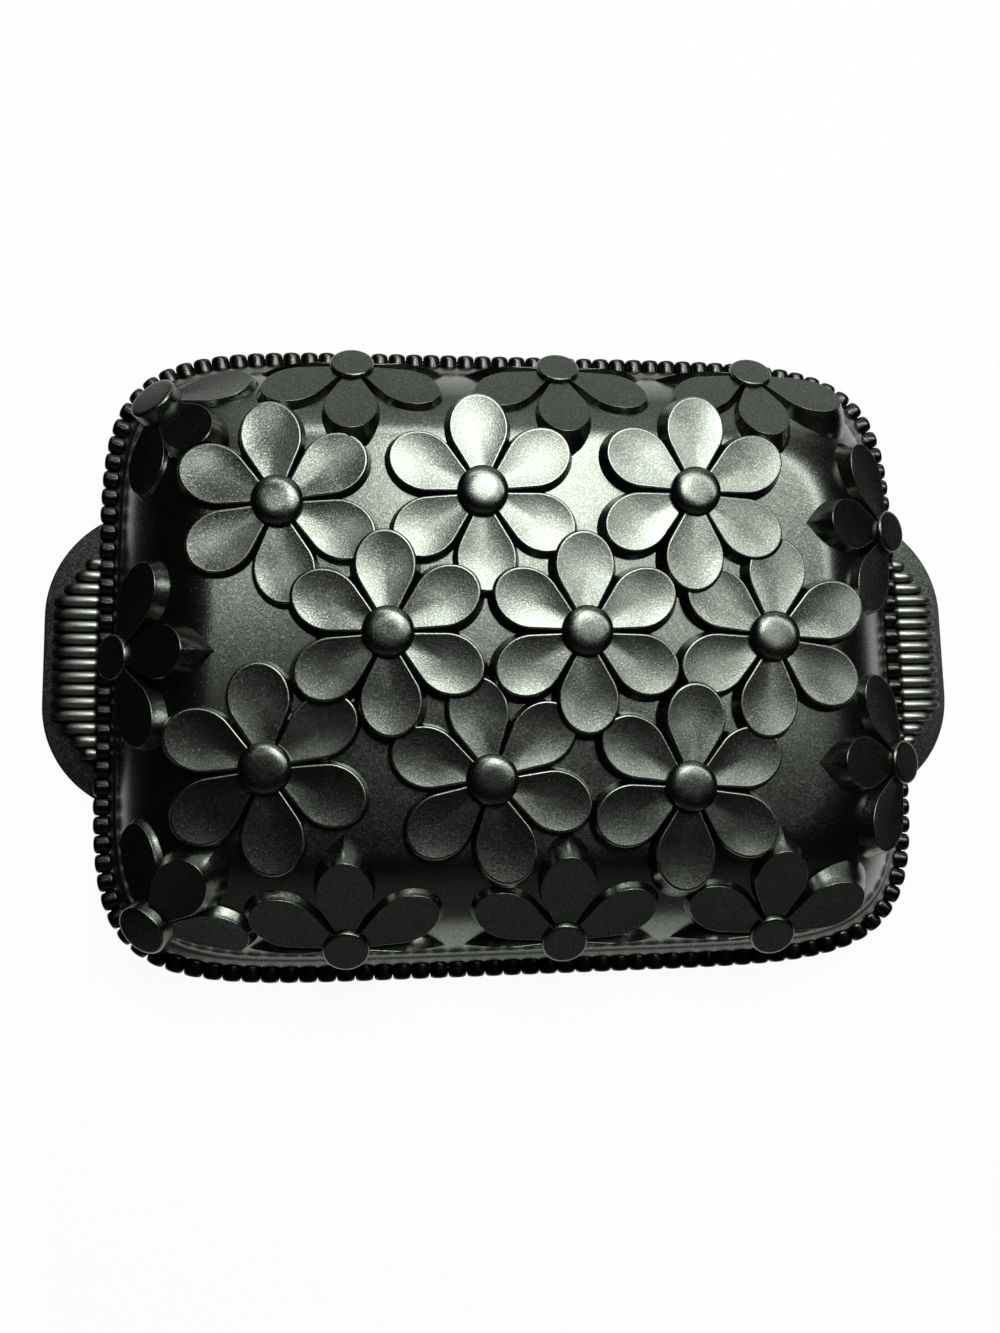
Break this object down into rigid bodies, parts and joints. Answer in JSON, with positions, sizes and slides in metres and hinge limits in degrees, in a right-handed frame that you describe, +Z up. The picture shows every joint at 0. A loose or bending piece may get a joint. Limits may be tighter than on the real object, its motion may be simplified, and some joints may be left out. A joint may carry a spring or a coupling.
{
  "type": "flower relief cake pan",
  "caption": "Rectangular cast cake pan lying upside down: overlapping daisies in relief cover its flat top and round shoulders, with a beaded rim and a ribbed grip handle at each end",
  "frame": {"origin": "in the plane of the rim that the pan lies on, under the middle of the pan", "axes": "+X along the pan from handle to handle, +Y across it to the far side of the picture, +Z up out of the rim's plane"},
  "size_m": [0.34, 0.2316, 0.0542],
  "materials": {
    "coat": "near-black non-stick coat with fine metallic flecks, semi-gloss"
  },
  "bodies": {
    "root": {"pan_shell": "coat", "beaded_rim": "coat", "handle_left": "coat", "handle_right": "coat", "grip_ribs_left": "coat", "grip_ribs_right": "coat", "flower_near_row_1": "coat", "flower_near_row_2": "coat", "flower_near_row_3": "coat", "flower_middle_row_1": "coat", "flower_middle_row_2": "coat", "flower_middle_row_3": "coat", "flower_far_row_1": "coat", "flower_far_row_2": "coat", "flower_far_row_3": "coat", "flower_far_wall_1": "coat", "flower_far_wall_2": "coat", "flower_far_wall_3": "coat", "flower_near_wall_1": "coat", "flower_near_wall_2": "coat", "flower_near_wall_3": "coat", "flower_left_end_1": "coat", "flower_right_end_1": "coat", "flower_right_end_2": "coat", "flower_far_corner": "coat", "flower_near_corner": "coat"}
  },
  "joints": []
}
